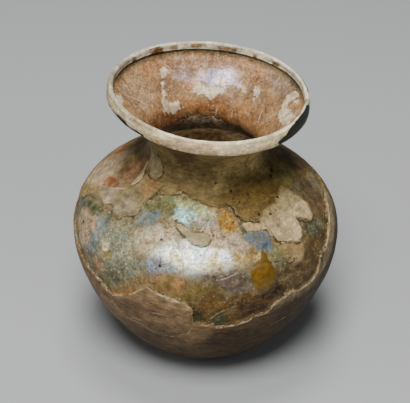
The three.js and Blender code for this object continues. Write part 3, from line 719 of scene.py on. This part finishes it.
relief = {
    "crustThickness": 0.7, "settled": -0.35, "lip": 0.1, "lipAt": 0.55, "lipWidth": 0.35,
    "broadWaves": 0.12, "middleWaves": 0.06, "crackDepth": 0.18, "pitDepth": 0.25, "flatFoot": 4,
}
offset = -relief["crustThickness"] * smooth(0.3, -0.3, crustField) * isBody
offset += relief["lip"] * np.exp(-((crustField - relief["lipAt"]) / relief["lipWidth"]) ** 2) * isOutside
offset += relief["broadWaves"] * (rough["broad"] - 0.5) + relief["middleWaves"] * (rough["middle"] - 0.5)
offset += rise + relief["settled"]
offset -= relief["crackDepth"] * smooth(0.5, 0.1, abs(crackAndShadowLine)) * crackAndShadowShare
offset -= relief["pitDepth"] * smooth(-0.2, 0.2, pitField)
offset *= smooth(0, relief["flatFoot"], run) * ~isDeep  # the foot ring stays flat
away = place[:, :2] / np.maximum(radius, 1e-6)[:, None]
place[:, :2] += away * (outward[row, 0] * offset)[:, None]
place[:, 2] += outward[row, 1] * offset


def asBlown(p, h, f):
    x, y, z = p.T
    at = np.radians(angle)
    up = z - f["neckHeight"]
    lean = math.radians(h["mouthLean"]) * smooth(-h["leanSpread"], h["leanSpread"], up)
    nearRim = smooth(f["neckHeight"], f["rimTop"], z)
    wave = sum(size * np.cos(lobes * (at - math.radians(middle))) for lobes, size, middle in h["lobes"])
    swell = 1 + nearRim * wave / f["rimRadius"]
    heave = nearRim * h["heave"] * np.cos(2 * (at - math.radians(h["heaveAt"])))
    slump = h["slump"] * np.exp(-((z - h["slumpHeight"]) / h["slumpSpread"]) ** 2)
    x = x * swell
    return np.stack([
        x * np.cos(lean) + up * np.sin(lean) - slump,
        y * swell,
        f["neckHeight"] + heave + up * np.cos(lean) - x * np.sin(lean),
    ], -1)


place = asBlown(place, hand, form)
vaseMesh.vertices.foreach_set("co", (place * mm).ravel())
vaseMesh.update()
fields = {
    "crustField": crustField, "glassField": glassField, "flakeField": flakeField, "pearl": pearl,
    "grain": grain, "gloss": gloss, "crackAndShadowLine": crackAndShadowLine, "crackAndShadowShare": crackAndShadowShare,
    "strokeLine": strokeLine, "strokeShare": strokeShare, "pitField": pitField,
}
tints = {"filmTint": filmTint, "crustTint": crustTint, "glassTint": glassTint, "flakeTint": flakeTint}
for name, values in fields.items():
    vaseMesh.attributes.new(name, "FLOAT", "POINT").data.foreach_set("value", values.astype(np.float32))
for name, values in tints.items():
    rgba = np.concatenate([np.clip(values, 0, 1), np.ones((count, 1))], 1).astype(np.float32)
    vaseMesh.attributes.new(name, "FLOAT_COLOR", "POINT").data.foreach_set("color", rgba.ravel())
vaseMesh.polygons.foreach_set("use_smooth", [True] * len(vaseMesh.polygons))
vase = bpy.data.objects.new("weatheredVase", vaseMesh)
bpy.context.collection.objects.link(vase)
print("relief set")

# Materials


class Nodes:
    # short calls for building a node tree
    def __init__(self, tree):
        self.tree = tree

    def put(self, socket, value):
        if isinstance(value, bpy.types.NodeSocket):
            self.tree.links.new(value, socket)
        elif hasattr(socket.default_value, "__len__") and len(socket.default_value) == 4:
            socket.default_value = (*value, 1) if len(value) == 3 else value
        else:
            socket.default_value = value

    def add(self, kind, inputs=None, **settings):
        node = self.tree.nodes.new(kind)
        for key, value in settings.items():
            setattr(node, key, value)
        for key, value in (inputs or {}).items():
            self.put(node.inputs[key], value)
        return node

    def math(self, operation, a, b=0.0, c=0.0):
        return self.add("ShaderNodeMath", {0: a, 1: b, 2: c}, operation=operation).outputs[0]

    def times(self, *values):
        result = values[0]
        for value in values[1:]:
            result = self.math("MULTIPLY", result, value)
        return result

    def onto(self, base, value, share):
        # a share of a value added to a base
        return self.math("MULTIPLY_ADD", value, share, base)

    def around(self, value, amount):
        # turns noise between 0 and 1 into values round 1
        return self.onto(1 - amount, value, 2 * amount)

    def step(self, value, low, high):
        inputs = {"Value": value, "From Min": low, "From Max": high}
        return self.add("ShaderNodeMapRange", inputs, interpolation_type="SMOOTHSTEP").outputs[0]

    def noise(self, vector, size, detail=3.0, roughness=0.55, distortion=0.0):
        look = {"Detail": detail, "Roughness": roughness, "Distortion": distortion}
        return self.add("ShaderNodeTexNoise", {"Vector": vector, "Scale": 1 / (size * mm), **look}).outputs[0]

    def mottle(self, vector, size):
        # noise spread over the whole way from 0 to 1
        return self.step(self.noise(vector, size, 6, 0.68), 0.35, 0.65)

    def cells(self, vector, size):
        return self.add("ShaderNodeTexVoronoi", {"Vector": vector, "Scale": 1 / (size * mm)}).outputs

    def toneOf(self, level):
        # one fixed value between 0 and 1 for each level
        return self.add("ShaderNodeTexWhiteNoise", {"W": level}, noise_dimensions="1D").outputs[0]

    def part(self, colour, index):
        return self.add("ShaderNodeSeparateColor", {0: colour}).outputs[index]

    def mix(self, share, a, b, mode="MIX"):
        node = self.add("ShaderNodeMix", {0: share}, data_type="RGBA", blend_type=mode)
        self.put(node.inputs[6], a)
        self.put(node.inputs[7], b)
        return node.outputs[2]

    def product(self, a, b):
        return self.mix(1.0, a, b, "MULTIPLY")

    def over(self, colour, mask, share, code):
        # a plain colour laid over another where a mask is
        return self.mix(self.times(mask, share), colour, linearColour(code))

    def between(self, share, a, b):
        return self.add("ShaderNodeMix", {0: share, 2: a, 3: b}).outputs[0]

    def shaded(self, colour, factor):
        grey = self.add("ShaderNodeCombineColor", {0: factor, 1: factor, 2: factor}).outputs[0]
        return self.product(colour, grey)

    def stretched(self, vector, scale):
        return self.add("ShaderNodeMapping", {"Vector": vector, "Scale": scale}).outputs[0]

    def attribute(self, name, output="Fac"):
        return self.add("ShaderNodeAttribute", attribute_name=name).outputs[output]

    def placed(self, tree, inputs):
        return self.add("ShaderNodeGroup", inputs, node_tree=tree).outputs


def makeGroup(name, inputs, outputs):
    # inputs are names and default values: a number makes a plain value, and four numbers a colour
    tree = bpy.data.node_groups.new(name, "ShaderNodeTree")
    tree.interface.new_socket(name="Vector", in_out="INPUT", socket_type="NodeSocketVector")
    for label, value in inputs.items():
        kind = "Float" if isinstance(value, float) else "Color"
        socket = tree.interface.new_socket(name=label, in_out="INPUT", socket_type="NodeSocket" + kind)
        socket.default_value = value
    for label in outputs:
        kind = "Color" if label == "Color" else "Float"
        tree.interface.new_socket(name=label, in_out="OUTPUT", socket_type="NodeSocket" + kind)
    given, put = tree.nodes.new("NodeGroupInput").outputs, tree.nodes.new("NodeGroupOutput").inputs
    return Nodes(tree), given, put


def brokenEdgeGroup():
    # a crisp ragged edge from a smooth field in mm, with thin lines just inside and outside it
    inputs = {"Field": 0.0, "Ragged": 0.3, "Line Width": 0.35}
    n, given, put = makeGroup("brokenEdge", inputs, ("Mask", "Inner Line", "Outer Line"))
    jag = n.math("SUBTRACT", n.noise(given["Vector"], 1.8, 7, 0.78), 0.5)
    field = n.onto(given["Field"], jag, n.times(given["Ragged"], 4.0))
    n.put(put["Mask"], n.step(field, -0.05, 0.05))
    width = n.times(given["Line Width"], n.step(n.noise(given["Vector"], 3, 4, 0.7), 0.42, 0.62))
    ratio = n.math("DIVIDE", field, n.math("MAXIMUM", width, 0.01))
    n.put(put["Inner Line"], n.times(n.step(ratio, 1.3, 0.7), n.step(ratio, -0.1, 0.1)))
    n.put(put["Outer Line"], n.times(n.step(ratio, -1.5, -0.5), n.step(ratio, 0.1, -0.1)))
    return n.tree


def flakingCrustGroup():
    # thin dull layers, one over another, with broken edges, pale smears, dark specks and a fine mottle
    inputs = {"Tint": (0.5, 0.5, 0.5, 1), "Contrast": 1.0, "Streaks": 0.5, "Specks": 0.1}
    n, given, put = makeGroup("flakingCrust", inputs, ("Color", "Height"))
    where, contrast, streaks = given["Vector"], given["Contrast"], given["Streaks"]
    layers = n.times(n.noise(n.stretched(where, (1, 1, 2)), 9, 6, 0.6, 0.4), 9.0)
    level, share = n.math("FLOOR", layers), n.math("FRACT", layers)
    streak = n.mottle(n.stretched(where, (1, 1, 7)), 5)
    mottle, grit = n.mottle(where, 2.6), n.mottle(where, 0.8)
    shade = n.times(n.around(n.toneOf(level), 0.09), n.around(mottle, 0.24), n.around(grit, 0.16))
    shade = n.between(contrast, 1.0, n.times(shade, n.between(streaks, 1.0, n.around(streak, 0.42))))
    colour = n.shaded(given["Tint"], shade)
    smear = n.step(n.noise(n.stretched(where, (1, 1, 1.8)), 4.2, 8, 0.68), 0.54, 0.64)
    stain = n.step(n.noise(n.stretched(where, (1, 1, 1.6)), 5.8, 8, 0.68, 0.8), 0.54, 0.66)
    colour = n.mix(n.times(smear, contrast, 0.55), colour, n.product(colour, (1.5, 1.46, 1.36)))
    colour = n.mix(n.times(stain, contrast, 0.7), colour, n.product(colour, (0.74, 0.57, 0.42)))
    speck = n.cells(where, 1.4)
    chosen = n.math("LESS_THAN", n.part(speck["Color"], 0), given["Specks"])
    dots = n.times(n.step(speck["Distance"], 0.22, 0.1), chosen)
    n.put(put["Color"], n.over(colour, dots, 0.8, "#241a10"))
    height = n.onto(n.times(mottle, 0.07), n.math("ADD", level, n.step(share, 0.8, 1.0)), 0.06)
    height = n.onto(height, n.times(streak, streaks), 0.09)
    height = n.onto(height, grit, 0.035)
    n.put(put["Height"], n.onto(height, dots, -0.12))
    return n.tree


def grainyFilmGroup():
    # a pearly film broken into fine grains of silver, gold, violet, blue and green
    inputs = {"Tint": (0.5, 0.5, 0.5, 1), "Pearl": 0.5, "Grain": 0.5}
    n, given, put = makeGroup("grainyFilm", inputs, ("Color", "Height"))
    where, tint, grain = given["Vector"], given["Tint"], given["Grain"]
    fine, coarse = n.mottle(where, 0.7), n.mottle(where, 2.2)
    plates = n.times(n.noise(where, 6, 8, 0.66, 0.5), 11.0)
    plateEdge = n.step(n.math("FRACT", plates), 0.78, 1.0)
    thickness = n.onto(-0.5, n.noise(where, 5, 4, 0.6), 1.3)
    thickness = n.onto(thickness, coarse, 0.3)
    thickness = n.onto(thickness, n.times(fine, grain), 0.5)
    ramp = n.add("ShaderNodeValToRGB", {0: thickness})
    stops = [(0.0, "#c9ab6c"), (0.2, "#e2d1a0"), (0.38, "#e0dbcb"), (0.52, "#d8d6d8"), (0.64, "#adb6d2"),
             (0.76, "#a8ced0"), (0.88, "#bcc88e"), (1.0, "#cdb07c")]
    for position, code in stops[1:-1]:
        ramp.color_ramp.elements.new(position)
    for element, (position, code) in zip(ramp.color_ramp.elements, stops):
        element.position, element.color = position, (*linearColour(code), 1)
    pearly = n.product(n.product(tint, ramp.outputs[0]), (1.35, 1.35, 1.35))
    colour = n.mix(n.math("MINIMUM", n.times(given["Pearl"], 1.2), 1.0), tint, pearly)
    tone = n.toneOf(n.math("FLOOR", plates))
    shade = n.times(n.between(grain, 1.0, n.around(fine, 0.55)), n.around(coarse, 0.26), n.around(tone, 0.22))
    colour = n.shaded(colour, shade)
    colour = n.over(colour, n.times(plateEdge, n.step(coarse, 0.3, 0.8)), 0.5, "#b99a66")
    worn = n.step(n.noise(where, 1.9, 8, 0.75, 0.5), 0.58, 0.66)
    colour = n.mix(n.times(worn, 0.6), colour, n.product(colour, (0.5, 0.42, 0.3)))
    grains = n.cells(where, 0.7)
    random, other = (n.part(grains["Color"], index) for index in (0, 1))
    shape = n.times(n.step(grains["Distance"], 0.5, 0.25), grain, 0.6)
    sparkle = n.mix(n.math("GREATER_THAN", other, 0.5), linearColour("#c9a95e"), linearColour("#cdc9b4"))
    colour = n.mix(n.times(n.math("GREATER_THAN", random, 0.88), shape), colour, sparkle)
    n.put(put["Color"], n.over(colour, n.math("LESS_THAN", random, 0.1), shape, "#33333b"))
    height = n.onto(n.times(coarse, 0.07), n.times(fine, grain), 0.09)
    height = n.onto(height, plateEdge, 0.05)
    n.put(put["Height"], n.onto(height, worn, -0.05))
    return n.tree


brokenEdge, flakingCrust, grainyFilm = brokenEdgeGroup(), flakingCrustGroup(), grainyFilmGroup()

outerFinish = {
    "filmRoughness": 0.36, "glassRoughness": 0.2, "crustRoughness": 0.66, "flakeRoughness": 0.58,
    "filmMetal": 0.6, "crustRagged": 0.55, "flakeRagged": 0.4, "streaks": 0.55, "specks": 0.1,
    "shine": 0.16, "glow": 0.0, "flakeShare": 1.0,
}
innerFinish = {
    "filmRoughness": 0.42, "glassRoughness": 0.3, "crustRoughness": 0.7, "flakeRoughness": 0.6,
    "filmMetal": 0.25, "crustRagged": 1.0, "flakeRagged": 1.3, "streaks": 0.2, "specks": 0.12,
    "shine": 0.3, "glow": 0.45, "flakeShare": 0.4,
}
# how strongly each mark shows, and its colour; the shadow marks are painted shadows beside raised edges, and
# the lips are pale broken edges, partly painted highlight
marks = {
    "crustShadow": (0.6, "#2b1f10"), "crustLipAndHighlight": (0.35, "#c4ad86"), "glassShadow": (0.35, "#33281a"),
    "flakeShadow": (0.35, "#32271a"), "flakeLipAndHighlight": (0.2, "#d8c8a6"),
    "stroke": (0.55, "#cdb892"), "crackAndShadow": (0.75, "#241808"), "pit": (0.85, "#1e150b"),
}


def weatheredGlass(name, f):
    material = bpy.data.materials.new(name)
    material.use_nodes = True
    material.node_tree.nodes.clear()
    n = Nodes(material.node_tree)
    where = n.add("ShaderNodeTexCoord").outputs["Object"]

    def edge(field, ragged, width):
        inputs = {"Vector": where, "Field": n.attribute(field), "Ragged": ragged, "Line Width": width}
        return n.placed(brokenEdge, inputs)

    def skin(group, tint, **inputs):
        return n.placed(group, {"Vector": where, "Tint": n.attribute(tint, "Color"), **inputs})

    crustEdge = edge("crustField", f["crustRagged"], 0.35)
    glassEdge = edge("glassField", 0.3, 0.25)
    flakeEdge = edge("flakeField", f["flakeRagged"], 0.3)
    onCrust, onGlass, onFlake = crustEdge["Mask"], glassEdge["Mask"], flakeEdge["Mask"]
    pearl, gloss = n.attribute("pearl"), n.attribute("gloss")
    filmSkin = skin(grainyFilm, "filmTint", Pearl=pearl, Grain=n.attribute("grain"))
    crustSkin = skin(flakingCrust, "crustTint", Streaks=f["streaks"], Specks=f["specks"])
    flakeSkin = skin(flakingCrust, "flakeTint", Contrast=0.9, Streaks=0.3, Specks=0.08)

    # colour, from the film up
    colour = n.over(filmSkin["Color"], crustEdge["Outer Line"], *marks["crustShadow"])
    colour = n.mix(onCrust, colour, crustSkin["Color"])
    # a pale line just inside the crust's edge: broken edge, partly painted highlight
    colour = n.over(colour, crustEdge["Inner Line"], *marks["crustLipAndHighlight"])
    upright = n.stretched(where, (1, 1, 3))
    glassShade = n.times(n.around(n.mottle(where, 1.8), 0.25), n.around(n.mottle(upright, 2.5), 0.2))
    colour = n.over(colour, glassEdge["Outer Line"], *marks["glassShadow"])
    colour = n.mix(onGlass, colour, n.shaded(n.attribute("glassTint", "Color"), glassShade))
    colour = n.over(colour, flakeEdge["Outer Line"], *marks["flakeShadow"])
    flakeCover = n.math("MINIMUM", n.math("ADD", n.mottle(where, 2), f["flakeShare"]), 1.0)
    colour = n.mix(n.times(onFlake, flakeCover), colour, flakeSkin["Color"])
    # a pale line just inside a flake's edge: broken edge, partly painted highlight
    colour = n.over(colour, flakeEdge["Inner Line"], *marks["flakeLipAndHighlight"])

    # cracks with the painted shadow lines, strokes and pits lie over everything
    wander = n.math("SUBTRACT", n.noise(where, 1.6, 4, 0.7), 0.5)

    def drawn(line, share, width):
        distance = n.math("ABSOLUTE", n.onto(n.attribute(line), wander, 0.5))
        broken = n.step(n.noise(where, 2.4, 5, 0.7), 0.4, 0.58)
        return n.times(n.step(distance, width, width * 0.4), n.step(n.attribute(share), 0.5, 0.9), broken)

    crackAndShadow, stroke = drawn("crackAndShadowLine", "crackAndShadowShare", 0.26), drawn("strokeLine", "strokeShare", 0.24)
    pit = n.step(n.onto(n.attribute("pitField"), wander, 0.3), -0.06, 0.08)
    colour = n.over(colour, stroke, *marks["stroke"])
    colour = n.over(colour, crackAndShadow, *marks["crackAndShadow"])
    colour = n.over(colour, pit, *marks["pit"])

    # finish
    covered = n.math("MAXIMUM", onCrust, n.math("MAXIMUM", onGlass, onFlake))
    metallic = n.times(pearl, n.math("SUBTRACT", 1.0, covered), f["filmMetal"])
    roughness = n.onto(f["filmRoughness"] - 0.12, n.noise(where, 1.4, 3), 0.24)
    roughness = n.between(onCrust, roughness, f["crustRoughness"])
    roughness = n.between(onGlass, roughness, n.onto(f["glassRoughness"] + 0.35, gloss, -0.4))
    roughness = n.between(onFlake, roughness, f["flakeRoughness"])
    coat = n.times(gloss, onGlass, n.math("SUBTRACT", 1.0, onFlake))

    # relief too fine for the mesh, in mm
    relief = n.between(onCrust, filmSkin["Height"], n.math("ADD", crustSkin["Height"], 0.2))
    relief = n.between(onGlass, relief, n.times(n.noise(where, 2.6, 3), 0.1))
    relief = n.between(onFlake, relief, n.math("ADD", flakeSkin["Height"], 0.15))
    for mark, height in ((crackAndShadow, -0.2), (pit, -0.25), (stroke, 0.06)):
        relief = n.onto(relief, mark, height)
    bump = n.add("ShaderNodeBump", {"Height": relief, "Strength": 0.7, "Distance": 1 * mm})

    shader = n.add("ShaderNodeBsdfPrincipled", {
        "Base Color": colour, "Roughness": roughness, "Metallic": metallic, "Normal": bump.outputs[0],
        "Coat Weight": coat, "Coat Roughness": 0.15, "IOR": 1.5, "Specular IOR Level": f["shine"],
        "Subsurface Weight": f["glow"], "Subsurface Radius": (1.0, 0.65, 0.4), "Subsurface Scale": 3.5 * mm,
    })
    n.put(n.add("ShaderNodeOutputMaterial").inputs[0], shader.outputs[0])
    return material


vaseMesh.materials.append(weatheredGlass("weatheredGlass", outerFinish))
vaseMesh.materials.append(weatheredGlass("innerGlass", innerFinish))
faceInside = [int(isInside[list(face.vertices)].all()) for face in vaseMesh.polygons]
vaseMesh.polygons.foreach_set("material_index", faceInside)
print("materials built")

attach(vase, "root")
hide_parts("vase")

# Floor, light and camera

studio = {
    "floorColour": "#9c9d9e", "floorRoughness": 0.85, "floorSize": 3,
    "worldColour": "#cdd0d4", "worldStrength": 0.08, "lightsAim": (0, 0, 0.04),
    "lights": {  # power, size, azimuth, elevation, distance
        "key": (8.4, 0.34, -8, 62, 0.75),
        "overhead": (3.6, 0.3, 176, 84, 0.8),
        "leftFill": (1.0, 0.4, -75, 24, 0.8),
        "rightFill": (0.7, 0.4, 38, 34, 0.8),
    },
    "target": (0, 0, 35.43), "elevation": 35.02, "distance": 450, "shiftRight": -0.28, "shiftUp": 6.29,
    "focalPixels": 1599.8, "photoWidth": 410, "sensorWidth": 36, "clipStart": 0.01,
}


def makeFloor(s):
    shape = bmesh.new()
    bmesh.ops.create_grid(shape, x_segments=1, y_segments=1, size=s["floorSize"])
    mesh = bpy.data.meshes.new("floor")
    shape.to_mesh(mesh)
    shape.free()
    floor = bpy.data.objects.new("floor", mesh)
    bpy.context.collection.objects.link(floor)
    material = bpy.data.materials.new("paleFloor")
    material.use_nodes = True
    shader = material.node_tree.nodes["Principled BSDF"]
    shader.inputs["Base Color"].default_value = (*linearColour(s["floorColour"]), 1)
    shader.inputs["Roughness"].default_value = s["floorRoughness"]
    mesh.materials.append(material)


def aimed(name, data, location, target):
    holder = bpy.data.objects.new(name, data)
    bpy.context.collection.objects.link(holder)
    holder.location = location
    holder.rotation_euler = (Vector(target) - Vector(location)).to_track_quat("-Z", "Y").to_euler()
    return holder


def softLight(name, power, size, azimuth, elevation, distance):
    lamp = bpy.data.lights.new(name, "AREA")
    lamp.shape, lamp.size, lamp.energy = "DISK", size, power
    a, e = math.radians(azimuth), math.radians(elevation)
    middle = Vector(studio["lightsAim"])
    spot = Vector((math.sin(a) * math.cos(e), -math.cos(a) * math.cos(e), math.sin(e))) * distance
    aimed(name, lamp, spot + middle, middle)


def makeCamera(s):
    e = math.radians(s["elevation"])
    target = Vector(s["target"])
    up, right = Vector((0, math.sin(e), math.cos(e))), Vector((1, 0, 0))
    spot = target + Vector((0, -math.cos(e), math.sin(e))) * s["distance"]
    lens = bpy.data.cameras.new("camera")
    lens.sensor_width, lens.lens = s["sensorWidth"], s["focalPixels"] / s["photoWidth"] * s["sensorWidth"]
    lens.clip_start = s["clipStart"]
    aim = target + up * s["shiftUp"] + right * s["shiftRight"]
    bpy.context.scene.camera = aimed("camera", lens, spot * mm, aim * mm)


makeFloor(studio)
for name, facts in studio["lights"].items():
    softLight(name, *facts)
makeCamera(studio)
world = bpy.data.worlds.new("softRoom")
world.use_nodes = True
world.node_tree.nodes["Background"].inputs[0].default_value = (*linearColour(studio["worldColour"]), 1)
world.node_tree.nodes["Background"].inputs[1].default_value = studio["worldStrength"]
bpy.context.scene.world = world
print("studio set")
